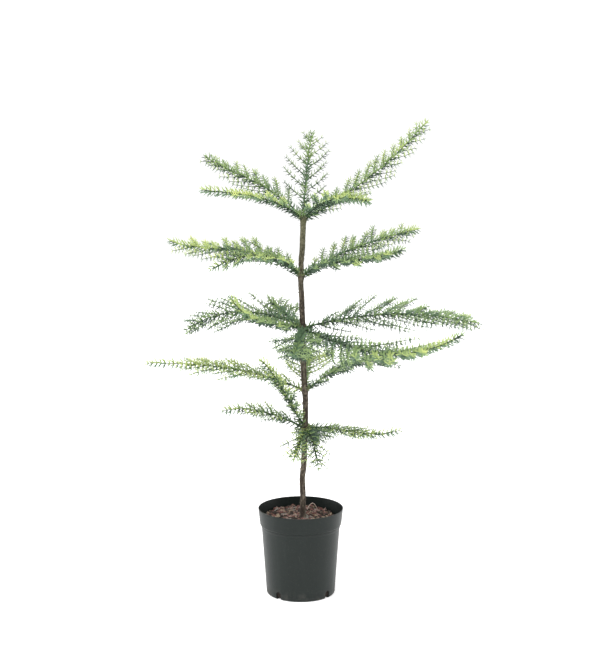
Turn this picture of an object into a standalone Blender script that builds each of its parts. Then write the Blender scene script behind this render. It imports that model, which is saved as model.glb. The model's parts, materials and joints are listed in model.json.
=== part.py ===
"""A young Norfolk Island pine in a round nursery pot.

Metres, +Z up. The origin is the middle of the pot's flat underside. +X is the plant's right, +Y its back.
The slim trunk carries five whorls of flat fronds. Each frond is a short bare bough and, 0.3 mm beyond its
tip, one mass of needle shoots: a stem with side shoots in pairs, all of them three-sided and toothed.
"""
import random
from collections import namedtuple
from math import cos, pi, radians, sin

import bmesh
import bpy
from mathutils import Matrix, Vector

# ---------------------------------------------------------------- pot and soil
POT_HEIGHT = 0.198
POT_RIM_RADIUS = 0.0962
POT_BAND_FOOT = 0.160          # the wider band under the rim starts at this height
POT_BAND_RADIUS = 0.0924       # outside of that band at its lower edge
POT_SHOULDER_RADIUS = 0.0883   # outside of the wall just under the band
POT_BASE_RADIUS = 0.0778
POT_LIP = 0.0012               # small chamfers of the rim band
POT_HEEL = 0.004               # rounding where wall and underside meet
POT_WALL = 0.0020
POT_FLOOR = 0.0030
POT_STEPS = 32
DRAIN_COUNT = 4                # openings cut round the heel, through wall and floor
DRAIN_TURN = 50                # degrees from the right to the first of them
DRAIN_WIDTH = 0.013
DRAIN_HEIGHT = 0.018           # of the opening in the wall
DRAIN_DEPTH = 0.020            # of the block that cuts it, half of it inside the wall

SOIL_DEPTH_BELOW_RIM = 0.025
SOIL_RINGS = 6
SOIL_SIDES = 20
SOIL_LUMP = 0.0028             # how far a bark chip lifts the surface
TOUCH_GAP = 0.0003             # between pieces that touch
WELD = 0.00001                 # points nearer than this are one

# ---------------------------------------------------------------- trunk and whorls
GROUND = POT_HEIGHT - SOIL_DEPTH_BELOW_RIM + TOUCH_GAP
TRUNK_TOP = 0.856
TRUNK_SIDES = 2                # bevel resolution: an eight-sided section
FLARE_RADIUS = 0.0088
FLARE_HEIGHT = 0.022
TRUNK_FOOT_RADIUS = 0.0065
TRUNK_TIP_RADIUS = 0.0061
COLLAR_SWELL = 0.0016          # the trunk is thicker where a whorl leaves it
COLLAR_HALF_HEIGHT = 0.012
TRUNK_STEP = 0.034
ROOT_FLARE_STEPS = (0.004, 0.010)      # heights over the mix where the flare is followed
TRUNK_TIP_SHARE = 0.55         # how much of its width the trunk keeps at its very top
# how far the crooked trunk stands to the right of the pot's axis, at heights from soil to tip
TRUNK_BENDS = (
    (0.170, 0.0047), (0.225, 0.0050), (0.265, 0.0036), (0.300, 0.0072), (0.385, 0.0102),
    (0.440, 0.0108), (0.505, 0.0070), (0.560, 0.0046), (0.610, 0.0044), (0.668, 0.0026),
    (0.710, 0.0004), (0.750, 0.0008), (0.800, 0.0042), (0.856, 0.0060),
)
WHORLS = {"top": 0.850, "upper": 0.7235, "middle": 0.609, "lower": 0.467, "lowest": 0.382}

# ---------------------------------------------------------------- fronds
# bearing: direction of growth from above, 0 = right, 90 = back; rise: slope at foot, middle and tip;
# turn: how far it swings sideways on the way; reach: its longest side shoot; roll: tilt of its flat,
# which lowers the side that faces the front; tip: leading length without side shoots. Lengths in
# metres, angles in degrees.
Frond = namedtuple("Frond", "name whorl bearing length rise turn reach roll tip")
FRONDS = (
    Frond("top_left_back", "top", 147, 0.295, (48, 5, 25), -4, 0.072, 16, 0.022),
    Frond("top_left_front", "top", 212, 0.265, (41, 1, 9), -5, 0.060, 0, 0.085),
    Frond("top_back", "top", 82, 0.225, (50, 55, 56), -12, 0.080, 0, 0.020),
    Frond("top_right_back", "top", 31, 0.385, (24, 31, 42), 10, 0.072, 18, 0.030),
    Frond("top_right_front", "top", 311, 0.220, (46, 5, -6), -5, 0.075, 0, 0.060),
    Frond("upper_left_back", "upper", 147, 0.370, (35, -20, 12), 8, 0.085, 18, 0.065),
    Frond("upper_left_front", "upper", 216, 0.255, (50, 0, -24), -12, 0.075, 15, 0.045),
    Frond("upper_right_back", "upper", 36, 0.345, (28, 9, 6), 6, 0.076, 18, 0.050),
    Frond("upper_right_front", "upper", 321, 0.285, (38, -14, 26), -5, 0.085, 10, 0.035),
    Frond("middle_left", "middle", 184, 0.270, (30, 5, -35), 0, 0.108, 20, 0.027),
    Frond("middle_left_back", "middle", 120, 0.160, (28, -6, 30), -4, 0.064, 15, 0.030),
    Frond("middle_left_front", "middle", 221, 0.222, (17, -4, 56), 3, 0.060, 12, 0.060),
    Frond("middle_right_front", "middle", 316, 0.460, (-10, -9, 34), 10, 0.118, 9, 0.110),
    Frond("middle_right", "middle", 15, 0.420, (14, -1, -16), 8, 0.126, 14, 0.040),
    Frond("middle_front", "middle", 265, 0.215, (-4, -9, -8), -5, 0.085, 0, 0.020),
    Frond("lower_left", "lower", 171, 0.365, (24, 3, -2), 0, 0.078, 14, 0.110),
    Frond("lower_right", "lower", 345, 0.235, (38, 40, -26), 3, 0.090, 10, 0.050),
    Frond("lower_back", "lower", 88, 0.210, (40, 2, 6), 0, 0.090, 0, 0.030),
    Frond("lowest_left", "lowest", 169, 0.195, (23, 21, -16), 0, 0.052, 14, 0.070),
    Frond("lowest_left_front", "lowest", 220, 0.210, (54, 64, 43), 0, 0.050, 6, 0.070),
    Frond("lowest_right", "lowest", 348, 0.215, (13, -31, 22), 12, 0.050, 8, 0.070),
    Frond("lowest_front", "lowest", 252, 0.095, (-26, -41, -32), 0, 0.052, 0, 0.015),
    Frond("lowest_right_front", "lowest", 294, 0.108, (-12, -56, -70), 0, 0.055, 0, 0.015),
    Frond("lowest_back", "lowest", 80, 0.155, (-15, -25, -36), 5, 0.070, 0, 0.030),
)
AXIS_STEP = 0.005
BOUGH_LENGTH = 0.028           # bare foot of a frond, or a quarter of a short one
BOUGH_FOOT_RADIUS = 0.0029
BOUGH_TIP_RADIUS = 0.0021
BOUGH_STEPS = 3
PAIR_SPACING = 0.053
STAGGER = 0.35                 # one shoot of a pair sits this much of a spacing behind the other
SHOOT_ANGLE = 50               # between side shoot and stem, at its foot
SHOOT_CURL = 14                # how far a side shoot bends forward along its length
SHORTEST_SHOOT = 0.018
LENGTH_VARIES = 0.10
SHOOT_TILT = 9                 # degrees a side shoot may leave the flat
FIRST_SHOOT = 0.004            # from the end of the bough to the first side shoot
STEM_FOOT_RADIUS = 0.0030
STEM_TIP_RADIUS = 0.0022
SHOOT_RADIUS = 0.0024
SHOOT_TIP_RADIUS = 0.0017
TOOTH = 0.0095                 # a needle point's height over the shoot's centre line
TOOTH_FORWARD = 0.0055
TOOTH_SPACING = 0.0182
TWIST = 40                     # degrees a three-sided shoot turns from one tooth to the next
STEM_RAMP = 0.06               # length over which a stem's needle points grow to full height
SHOOT_RAMP = 0.02
FOOT_SHARE = 0.45              # height of the first needle point, as a share of the full one
TIP_SHARE = 0.35               # and of the last
TIP_RAMP = 0.021               # length over which they shorten to the tip
SHORTEST_POINT = 0.85          # needle points vary between this share and all of their height
CLEARANCE = 0.0012             # between the needle points of different masses
CROWDED_STEPS = 4              # steps of a frond's line so near the trunk that shoots needn't avoid them
NEARBY = 0.03                  # points this much further off than a shoot is long can't touch it
SEED = 7

rng = random.Random(SEED)


def material(name, colour, roughness, metallic=0.0):
    finish = bpy.data.materials.new(name)
    finish.use_nodes = True
    shader = finish.node_tree.nodes["Principled BSDF"]
    shader.inputs["Base Color"].default_value = (*colour, 1.0)
    shader.inputs["Roughness"].default_value = roughness
    shader.inputs["Metallic"].default_value = metallic
    finish.diffuse_color = (*colour, 1.0)
    return finish


def add_object(name, mesh, finish, collection):
    piece = bpy.data.objects.new(name, mesh)
    mesh.materials.clear()
    mesh.materials.append(finish)
    collection.objects.link(piece)
    return piece


def evaluated_mesh(piece):
    """The piece's mesh with its modifiers, or its curve, worked out."""
    graph = bpy.context.evaluated_depsgraph_get()
    graph.update()
    return bpy.data.meshes.new_from_object(piece.evaluated_get(graph), depsgraph=graph)


def weld(mesh, distance):
    """Merges the mesh's near points and says whether it is closed."""
    shape = bmesh.new()
    shape.from_mesh(mesh)
    bmesh.ops.remove_doubles(shape, verts=shape.verts, dist=distance)
    closed = all(edge.is_manifold for edge in shape.edges)
    shape.to_mesh(mesh)
    shape.free()
    return closed


def tube(name, points, radii, resolution, finish, collection):
    """A limb along the points, with its own thickness at each, closed at both ends."""
    line = bpy.data.curves.new(name, "CURVE")
    line.dimensions = "3D"
    line.bevel_depth = 1.0
    line.bevel_resolution = resolution
    line.use_fill_caps = True
    spline = line.splines.new("POLY")
    spline.points.add(len(points) - 1)
    for knot, point, radius in zip(spline.points, points, radii):
        knot.co = (*point, 1.0)
        knot.radius = radius
    guide = bpy.data.objects.new(name + "_guide", line)
    collection.objects.link(guide)
    mesh = evaluated_mesh(guide)
    bpy.data.objects.remove(guide)
    weld(mesh, WELD)
    mesh.name = name
    return add_object(name, mesh, finish, collection)


# ---------------------------------------------------------------- pot
def pot_profile():
    """Half section of the pot: up the inside from the middle of its floor, over the rim, down to the foot."""
    inside = [
        (0.0, POT_FLOOR),
        (POT_BASE_RADIUS - POT_HEEL, POT_FLOOR),
        (POT_BASE_RADIUS - POT_WALL, POT_FLOOR + POT_HEEL),
        (POT_SHOULDER_RADIUS - POT_WALL, POT_BAND_FOOT + POT_WALL),
        (POT_BAND_RADIUS - POT_WALL, POT_BAND_FOOT + POT_WALL * 2),
        (POT_RIM_RADIUS - POT_WALL, POT_HEIGHT),
    ]
    outside = [
        (POT_RIM_RADIUS - POT_LIP * 0.5, POT_HEIGHT),
        (POT_RIM_RADIUS, POT_HEIGHT - POT_LIP),
        (POT_BAND_RADIUS, POT_BAND_FOOT + POT_LIP),
        (POT_BAND_RADIUS - POT_LIP, POT_BAND_FOOT),
        (POT_SHOULDER_RADIUS + POT_LIP, POT_BAND_FOOT),
        (POT_SHOULDER_RADIUS, POT_BAND_FOOT - POT_LIP * 4),
        (POT_BASE_RADIUS, POT_HEEL),
        (POT_BASE_RADIUS - POT_HEEL * 0.3, POT_HEEL * 0.3),
        (POT_BASE_RADIUS - POT_HEEL, 0.0),
        (0.0, 0.0),
    ]
    return inside + outside


def turned(name, profile, steps, finish, collection):
    """A profile in the XZ plane, turned about Z and shaded smooth between its sharp edges."""
    mesh = bpy.data.meshes.new(name)
    edges = [(i, i + 1) for i in range(len(profile) - 1)]
    mesh.from_pydata([(x, 0.0, z) for x, z in profile], edges, [])
    piece = add_object(name, mesh, finish, collection)
    screw = piece.modifiers.new("turn", "SCREW")
    screw.steps = steps
    screw.render_steps = steps
    screw.use_merge_vertices = True
    screw.merge_threshold = WELD
    piece.data = evaluated_mesh(piece)
    piece.data.name = name
    piece.modifiers.remove(screw)
    piece.data.set_sharp_from_angle(angle=radians(30))
    return piece


def make_pot(parts, cutters):
    plastic = material("pot_plastic", (0.022, 0.030, 0.028), 0.42)
    pot = turned("pot", pot_profile(), POT_STEPS, plastic, parts)
    for number in range(DRAIN_COUNT):
        angle = radians(DRAIN_TURN) + 2 * pi * number / DRAIN_COUNT
        bpy.ops.mesh.primitive_cube_add(size=1.0)
        block = bpy.context.object
        block.name = "drain_cutter_%d" % (number + 1)
        block.scale = (DRAIN_DEPTH, DRAIN_WIDTH, DRAIN_HEIGHT * 2)
        block.rotation_euler.z = angle
        block.location = (POT_BASE_RADIUS * cos(angle), POT_BASE_RADIUS * sin(angle), 0.0)
        block.hide_render = True
        block.display_type = "WIRE"
        bpy.context.collection.objects.unlink(block)
        cutters.objects.link(block)
    drains = pot.modifiers.new("drains", "BOOLEAN")
    drains.operation = "DIFFERENCE"
    drains.operand_type = "COLLECTION"
    drains.collection = cutters
    drains.solver = "EXACT"
    return pot


def pot_inside_radius(height):
    """Inner radius of the pot's wall at a height below the band."""
    low = POT_FLOOR + POT_HEEL
    high = POT_BAND_FOOT + POT_WALL
    share = (height - low) / (high - low)
    return POT_BASE_RADIUS - POT_WALL + share * (POT_SHOULDER_RADIUS - POT_BASE_RADIUS)


def make_soil(parts):
    """The root ball fills the pot up to a lumpy top of bark chips, level where the trunk stands."""
    bark_mix = material("potting_bark", (0.135, 0.070, 0.045), 0.9)
    top = POT_HEIGHT - SOIL_DEPTH_BELOW_RIM
    shoulder = POT_BAND_FOOT + POT_WALL
    # the flats of the many-sided pot come in further than its corners
    slack = POT_RIM_RADIUS * (1 - cos(pi / POT_STEPS)) + TOUCH_GAP
    edge = POT_BAND_RADIUS - POT_WALL - slack
    neck = pot_inside_radius(shoulder) - slack
    foot = pot_inside_radius(POT_FLOOR + POT_HEEL) - slack
    shape = bmesh.new()
    rings = []

    def ring(radius, height, lump):
        level = []
        for side in range(SOIL_SIDES):
            angle = 2 * pi * side / SOIL_SIDES
            lift = rng.uniform(-lump, lump)
            level.append(shape.verts.new((radius * cos(angle), radius * sin(angle), height + lift)))
        rings.append(level)

    level_place = FLARE_RADIUS * 1.5 + trunk_centre(GROUND).x
    ring(foot - POT_HEEL, POT_FLOOR + TOUCH_GAP, 0.0)
    ring(foot, POT_FLOOR + POT_HEEL + TOUCH_GAP, 0.0)
    ring(neck, shoulder, 0.0)
    ring(edge, shoulder + POT_WALL * 2, 0.0)
    ring(edge, top - SOIL_LUMP, 0.0)
    for step in range(1, SOIL_RINGS):
        ring(edge + (level_place - edge) * step / SOIL_RINGS, top - SOIL_LUMP / 2, SOIL_LUMP)
    ring(level_place, top, 0.0)
    for lower, upper in zip(rings, rings[1:]):
        for side in range(SOIL_SIDES):
            after = (side + 1) % SOIL_SIDES
            shape.faces.new((lower[side], lower[after], upper[after], upper[side]))
    shape.faces.new(list(reversed(rings[0])))
    shape.faces.new(rings[-1])
    mesh = bpy.data.meshes.new("soil")
    shape.to_mesh(mesh)
    shape.free()
    return add_object("soil", mesh, bark_mix, parts)


# ---------------------------------------------------------------- trunk
def trunk_centre(height):
    """Centre of the trunk at a height, on a smooth line through its bends."""
    below = [bend for bend in TRUNK_BENDS if bend[0] <= height] or [TRUNK_BENDS[0]]
    above = [bend for bend in TRUNK_BENDS if bend[0] > height] or [TRUNK_BENDS[-1]]
    (z0, x0), (z1, x1) = below[-1], above[0]
    if z1 <= z0:
        return Vector((x1, 0.0, height))
    share = min(1.0, max(0.0, (height - z0) / (z1 - z0)))
    smooth = share * share * (3 - 2 * share)
    return Vector((x0 + (x1 - x0) * smooth, 0.0, height))


def trunk_radius(height):
    """True taper, the root flare at the soil and a low collar at each whorl."""
    share = (height - GROUND) / (TRUNK_TOP - GROUND)
    radius = TRUNK_FOOT_RADIUS + (TRUNK_TIP_RADIUS - TRUNK_FOOT_RADIUS) * share
    flare = max(0.0, 1 - (height - GROUND) / FLARE_HEIGHT)
    radius += (FLARE_RADIUS - TRUNK_FOOT_RADIUS) * flare * flare
    for whorl in WHORLS.values():
        near = max(0.0, 1 - abs(height - whorl) / COLLAR_HALF_HEIGHT)
        radius += COLLAR_SWELL * near * near * (3 - 2 * near) * radius / TRUNK_FOOT_RADIUS
    return radius


def make_trunk(parts, bark):
    heights = [GROUND, *(GROUND + step for step in ROOT_FLARE_STEPS), GROUND + FLARE_HEIGHT]
    while heights[-1] + TRUNK_STEP < TRUNK_TOP:
        heights.append(heights[-1] + TRUNK_STEP)
    for whorl in WHORLS.values():
        heights = [h for h in heights if abs(h - whorl) > COLLAR_HALF_HEIGHT]
        heights += [whorl - COLLAR_HALF_HEIGHT, whorl]
        if whorl + COLLAR_HALF_HEIGHT < TRUNK_TOP:
            heights.append(whorl + COLLAR_HALF_HEIGHT)
    heights = sorted(heights) + [TRUNK_TOP]
    points = [trunk_centre(height) for height in heights]
    points[1].x = points[0].x
    radii = [trunk_radius(height) for height in heights]
    radii[-1] *= TRUNK_TIP_SHARE
    return tube("trunk", points, radii, TRUNK_SIDES, bark, parts)


# ---------------------------------------------------------------- fronds
def frond_axis(frond):
    """Points along a frond's centre line, every AXIS_STEP from the middle of the trunk."""
    count = round(frond.length / AXIS_STEP)
    foot, middle, tip = frond.rise
    points = [trunk_centre(WHORLS[frond.whorl])]
    for step in range(count):
        share = (step + 0.5) / count
        slope = (1 - share) ** 2 * foot + 2 * share * (1 - share) * middle + share ** 2 * tip
        rise = radians(slope)
        bearing = radians(frond.bearing + frond.turn * (share - 0.5))
        ahead = Vector((cos(rise) * cos(bearing), cos(rise) * sin(bearing), sin(rise)))
        points.append(points[-1] + ahead * frond.length / count)
    return points


def along(points, distance):
    """Point and direction at a distance along evenly spaced points."""
    place = min(max(distance / AXIS_STEP, 0.0), len(points) - 1.001)
    start = int(place)
    ahead = (points[start + 1] - points[start]).normalized()
    return points[start].lerp(points[start + 1], place - start), ahead


def flat_of(frond, ahead):
    """Unit vectors across and out of a frond's flat, where it grows in the direction ahead."""
    across = ahead.cross(Vector((0, 0, 1))).normalized()
    roll = radians(frond.roll) * (-1 if across.y > 0 else 1)
    across = Matrix.Rotation(roll, 3, ahead) @ across
    return across, across.cross(ahead).normalized()


def shoot_length(frond, distance):
    """Side shoots are longest a third of the way out and shorten evenly to the tip."""
    share = distance / frond.length
    swelling = min(1.0, 0.62 + 1.5 * max(0.0, share - 0.12))
    tapering = 1 - 0.62 * max(0.0, (share - 0.35) / 0.60)
    return frond.reach * swelling * tapering


def bare_length(frond):
    return min(BOUGH_LENGTH, frond.length / 4)


def side_shoots(frond, axis):
    """Centre lines of the side shoots, in pairs from the tip back to the bare foot."""
    shoots = []
    distance = frond.length - frond.tip
    while distance > bare_length(frond) + FIRST_SHOOT:
        for side in (-1, 1):
            place = distance - (STAGGER * PAIR_SPACING if side > 0 else 0.0)
            if place < bare_length(frond) + FIRST_SHOOT:
                continue
            foot, ahead = along(axis, place)
            across, up = flat_of(frond, ahead)
            length = shoot_length(frond, place) * (1 + rng.uniform(-LENGTH_VARIES, LENGTH_VARIES))
            tilt = radians(rng.uniform(-SHOOT_TILT, SHOOT_TILT))
            outward = side * across * cos(tilt) + up * sin(tilt)
            line = [foot]
            count = max(4, round(length / AXIS_STEP))
            for step in range(count):
                angle = radians(SHOOT_ANGLE - SHOOT_CURL * (step + 0.5) / count)
                line.append(line[-1] + (ahead * cos(angle) + outward * sin(angle)) * length / count)
            shoots.append((line, up))
        distance -= PAIR_SPACING
    return shoots


def far_enough(line, crowd):
    """How many of a line's points keep the needle points clear of all others."""
    apart = 2 * TOOTH + CLEARANCE
    for count, point in enumerate(line):
        if any((point - other).length_squared < apart * apart for other in crowd):
            return count
    return len(line)


def clear_of_trunk(point):
    centre = trunk_centre(min(max(point.z, GROUND), TRUNK_TOP))
    return (point - centre).length > TRUNK_FOOT_RADIUS + TOOTH + CLEARANCE


def needle_shoot(name, line, up, foot_radius, tip_radius, ramp, finish, collection):
    """A three-sided shoot that tapers along a line, each of its sides drawn out to a needle point."""
    length = sum((b - a).length for a, b in zip(line, line[1:]))
    stations = max(2, round(length / TOOTH_SPACING))
    spacing = (len(line) - 1) / stations
    shape = bmesh.new()
    rings = []
    facing = []
    for station in range(stations):
        place = station * spacing
        start = min(int(place), len(line) - 2)
        centre = line[start].lerp(line[start + 1], place - start)
        ahead = (line[start + 1] - line[start]).normalized()
        across = ahead.cross(up).normalized()
        above = across.cross(ahead)
        radius = foot_radius + (tip_radius - foot_radius) * station / stations
        ring = []
        for corner in range(3):
            angle = radians(90 + 120 * corner + TWIST * station)
            ring.append(shape.verts.new(centre + (across * cos(angle) + above * sin(angle)) * radius))
        rings.append(ring)
        facing.append(ahead)
    end = shape.verts.new(line[-1])
    sides = []
    for station, (near, far) in enumerate(zip(rings, rings[1:])):
        for corner in range(3):
            after = (corner + 1) % 3
            side = shape.faces.new((near[after], near[corner], far[corner], far[after]))
            sides.append((side, station))
    for corner in range(3):
        after = (corner + 1) % 3
        shape.faces.new((rings[-1][after], rings[-1][corner], end))
    shape.faces.new(rings[0])
    shape.normal_update()
    for side, station in sides:
        normal = side.normal.copy()
        ahead = facing[station]
        point = bmesh.ops.poke(shape, faces=[side])["verts"][0]
        distance = (station + 0.5) * length / stations
        height = TOOTH * min(1.0, FOOT_SHARE + distance / ramp)
        height *= rng.uniform(SHORTEST_POINT, 1.0) * min(1.0, TIP_SHARE + (length - distance) / TIP_RAMP)
        point.co += normal * (height - foot_radius * 0.5) + ahead * TOOTH_FORWARD * height / TOOTH
    mesh = bpy.data.meshes.new(name)
    shape.to_mesh(mesh)
    shape.free()
    return add_object(name, mesh, finish, collection)


def make_bough(frond, axis, parts, bark):
    """The frond's bare foot: one tapering limb that starts just clear of the trunk."""
    end = bare_length(frond)
    rise = radians(frond.rise[0])
    trunk_side = trunk_radius(WHORLS[frond.whorl]) + TOUCH_GAP * 2
    start = (trunk_side + BOUGH_FOOT_RADIUS * abs(sin(rise))) / cos(rise)
    shares = [step / BOUGH_STEPS for step in range(BOUGH_STEPS + 1)]
    points = [along(axis, start + (end - start) * share)[0] for share in shares]
    radii = [BOUGH_FOOT_RADIUS + (BOUGH_TIP_RADIUS - BOUGH_FOOT_RADIUS) * share for share in shares]
    return tube("bough_" + frond.name, points, radii, 1, bark, parts)


def make_foliage(frond, axis, shoots, parts, needles):
    """One mass: the stem and its side shoots, fused by a single union."""
    start = bare_length(frond) + TOUCH_GAP * 2
    count = max(4, round((frond.length - start) / AXIS_STEP))
    line = [along(axis, start + (frond.length - start) * i / count)[0] for i in range(count + 1)]
    up = flat_of(frond, (line[-1] - line[0]).normalized())[1]
    stem = needle_shoot("foliage_" + frond.name, line, up, STEM_FOOT_RADIUS, STEM_TIP_RADIUS,
                        STEM_RAMP, needles, parts)
    sprays = bpy.data.collections.new("sprays_" + frond.name)
    bpy.context.scene.collection.children.link(sprays)
    for number, (shoot, side_up) in enumerate(shoots):
        needle_shoot("spray_%d" % number, shoot, side_up, SHOOT_RADIUS, SHOOT_TIP_RADIUS,
                     SHOOT_RAMP, needles, sprays)
    union = stem.modifiers.new("fuse", "BOOLEAN")
    union.operation = "UNION"
    union.operand_type = "COLLECTION"
    union.collection = sprays
    for solver in ("EXACT", "MANIFOLD"):
        union.solver = solver
        fused = evaluated_mesh(stem)
        if weld(fused, WELD):
            break
    stem.modifiers.remove(union)
    stem.data = fused
    fused.name = stem.name
    for spray in list(sprays.objects):
        bpy.data.objects.remove(spray)
    bpy.data.collections.remove(sprays)
    return stem


def make_fronds(parts, bark, needles):
    axes = [frond_axis(frond) for frond in FRONDS]
    kept = [axis[CROWDED_STEPS:] for axis in axes]
    chosen = [[] for _ in FRONDS]
    for number, frond in enumerate(FRONDS):
        for shoot, up in side_shoots(frond, axes[number]):
            crowd = [p for other, points in enumerate(kept) if other != number for p in points
                     if (p - shoot[0]).length < frond.reach + NEARBY]
            room = far_enough(shoot, crowd)
            clear = [clear_of_trunk(point) for point in shoot[:room]]
            room = clear.index(False) if False in clear else room
            if room * AXIS_STEP < SHORTEST_SHOOT:
                continue
            chosen[number].append((shoot[:room], up))
            kept[number] += shoot[:room]
    for number, frond in enumerate(FRONDS):
        make_bough(frond, axes[number], parts, bark)
        make_foliage(frond, axes[number], chosen[number], parts, needles)


def main():
    for old in list(bpy.data.objects):
        bpy.data.objects.remove(old)
    parts = bpy.data.collections.new("potted_pine")
    cutters = bpy.data.collections.new("cutters")
    bpy.context.scene.collection.children.link(parts)
    bpy.context.scene.collection.children.link(cutters)
    bark = material("bark", (0.140, 0.105, 0.080), 0.85)
    needles = material("needles", (0.085, 0.200, 0.060), 0.55)
    make_pot(parts, cutters)
    make_soil(parts)
    make_trunk(parts, bark)
    make_fronds(parts, bark, needles)


main()
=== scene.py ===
"""A young Norfolk Island pine in a round nursery pot, dressed for its portrait.

Metres, +Z up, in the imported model's own frame: the origin is the middle of the pot's flat underside.
The sections follow the plant as it is put together: pot, potting mix, trunk and boughs, fronds, the dry
needles left on the trunk, and then the studio round it.
"""
import json
import random
from collections import namedtuple
from math import cos, exp, pi, radians, sin

import bmesh
import bpy
from mathutils import Matrix, Vector, noise

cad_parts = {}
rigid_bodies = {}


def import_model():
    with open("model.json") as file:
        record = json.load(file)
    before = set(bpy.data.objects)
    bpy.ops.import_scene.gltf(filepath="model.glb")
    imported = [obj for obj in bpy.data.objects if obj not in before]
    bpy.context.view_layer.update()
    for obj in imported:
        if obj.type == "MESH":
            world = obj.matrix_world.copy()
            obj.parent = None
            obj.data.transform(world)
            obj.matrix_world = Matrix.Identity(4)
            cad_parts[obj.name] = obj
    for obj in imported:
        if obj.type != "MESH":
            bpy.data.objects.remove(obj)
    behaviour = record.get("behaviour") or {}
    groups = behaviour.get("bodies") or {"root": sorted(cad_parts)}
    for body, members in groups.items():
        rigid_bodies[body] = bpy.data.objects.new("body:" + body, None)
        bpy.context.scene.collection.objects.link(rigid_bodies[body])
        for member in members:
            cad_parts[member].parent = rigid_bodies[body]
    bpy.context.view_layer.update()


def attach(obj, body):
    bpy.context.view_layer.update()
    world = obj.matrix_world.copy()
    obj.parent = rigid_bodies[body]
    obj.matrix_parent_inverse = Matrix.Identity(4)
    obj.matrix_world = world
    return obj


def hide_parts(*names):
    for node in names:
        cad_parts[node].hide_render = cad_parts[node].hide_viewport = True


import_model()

# ---------------------------------------------------------------- pot
# A round nursery pot, injection-moulded in one piece from dark grey-green plastic: a thin wall that narrows
# to the foot, a deep band stiffening the rim, a low ledge under it where pots stop when they are nested,
# and four drainage openings cut round the heel.

POT_HEIGHT = 0.198
RIM_RADIUS = 0.0960
BAND_FOOT = 0.160              # height of the rim band's lower edge
BAND_RADIUS = 0.0922
LEDGE_RADIUS = 0.0893
LEDGE_FOOT = 0.1535
SHOULDER_RADIUS = 0.0881       # wall just under the ledge
BASE_RADIUS = 0.0776
POT_WALL = 0.0018
POT_FLOOR = 0.0026
LIP_DEPTH = 0.0045             # the rim's face keeps nearly upright this far down
LIP_DRAFT = 0.0005             # and has drawn in this much there
RIM_ROUND = 0.0009
BAND_ROUND = 0.0030
HEEL_ROUND = 0.0045
LEDGE_EDGE = 0.0006            # bevel on the ledge's corners
LEDGE_DRAFT = 0.0002
SHOULDER_FILLET = (0.0004, 0.0014)     # where it starts and ends below the ledge's foot
POT_SEGMENTS = 128
POT_WELD = 0.00001
POT_CREASE = 38                # degrees from which an edge is drawn sharp
DRAIN_COUNT = 4
DRAIN_TURN = 5                 # degrees the openings stand round from the diagonals
DRAIN_WIDTH = 0.013
DRAIN_HEIGHT = 0.018
DRAIN_REACH = 0.020            # of the cutter, across the wall
DRAIN_CORNER = 0.003
PLASTIC_COLOURS = ((0.0075, 0.0115, 0.0102), (0.0120, 0.0170, 0.0152))
FLOW_COLOUR = (0.0175, 0.0235, 0.0215)
DUST_COLOUR = (0.115, 0.108, 0.095)
DUST_HEIGHT = 0.030
WORN_HEIGHT = 0.0016           # of the rim's pale worn edge


class Wire:
    """A socket in a tree of nodes; arithmetic on it adds the Math node that works it out."""

    def __init__(self, tree, socket=None):
        self.tree = tree
        self.socket = socket

    def node(self, kind, inputs=None, out=0, **settings):
        """Adds a node: first its settings, then the values or links of its sockets."""
        made = self.tree.nodes.new(kind)
        for name, value in settings.items():
            setattr(made, name, value)
        for key, value in (inputs or {}).items():
            if isinstance(value, Wire):
                self.tree.links.new(value.socket, made.inputs[key])
            else:
                made.inputs[key].default_value = value
        return Wire(self.tree, made.outputs[out])

    def math(self, operation, first, second):
        return self.node("ShaderNodeMath", {0: first, 1: second}, operation=operation)

    def __add__(self, other):
        return self.math("ADD", self, other)

    def __sub__(self, other):
        return self.math("SUBTRACT", self, other)

    def __rsub__(self, other):
        return self.math("SUBTRACT", other, self)

    def __mul__(self, other):
        return self.math("MULTIPLY", self, other)

    def __truediv__(self, other):
        return self.math("DIVIDE", self, other)

    __radd__ = __add__
    def ramp(self, low, high):
        """0 where this value is low or under, 1 where it is high or over, smooth between."""
        return self.node("ShaderNodeMapRange", {"Value": self, "From Min": low, "From Max": high},
                         interpolation_type="SMOOTHSTEP")

    def between(self, colour, other):
        """The first colour where this value is 0, the other where it is 1."""
        ends = {0: self}
        for key, end in ((6, colour), (7, other)):
            ends[key] = end if isinstance(end, Wire) else (*end, 1.0)
        return self.node("ShaderNodeMix", ends, out=2, data_type="RGBA")


class Finish:
    """A material: its patterns on the piece's own coordinates, and its one shader."""

    def __init__(self, name, **constants):
        self.material = bpy.data.materials.new(name)
        self.material.use_nodes = True
        tree = self.material.node_tree
        self.wires = Wire(tree)
        self.shader = tree.nodes["Principled BSDF"]
        for socket, value in constants.items():
            self.shader.inputs[socket.replace("_", " ")].default_value = value
        self.place = self.wires.node("ShaderNodeTexCoord", out="Object")

    def noise(self, scale, detail=2.0, stretch=(1.0, 1.0, 1.0), roughness=0.5):
        place = self.place
        if stretch != (1.0, 1.0, 1.0):
            place = self.wires.node("ShaderNodeMapping", {"Vector": place, "Scale": stretch})
        return self.wires.node("ShaderNodeTexNoise", {
            "Vector": place, "Scale": scale, "Detail": detail, "Roughness": roughness}, out="Fac")

    def attribute(self, name):
        return self.wires.node("ShaderNodeAttribute", out="Fac", attribute_name=name)

    def height(self):
        return self.wires.node("ShaderNodeSeparateXYZ", {0: self.place}, out="Z")

    def drive(self, **links):
        for socket, wire in links.items():
            self.wires.tree.links.new(wire.socket, self.shader.inputs[socket.replace("_", " ")])

    def bump(self, wire, distance):
        self.drive(Normal=self.wires.node("ShaderNodeBump", {
            "Height": wire, "Distance": distance, "Strength": 1.0}, out="Normal"))


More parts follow.
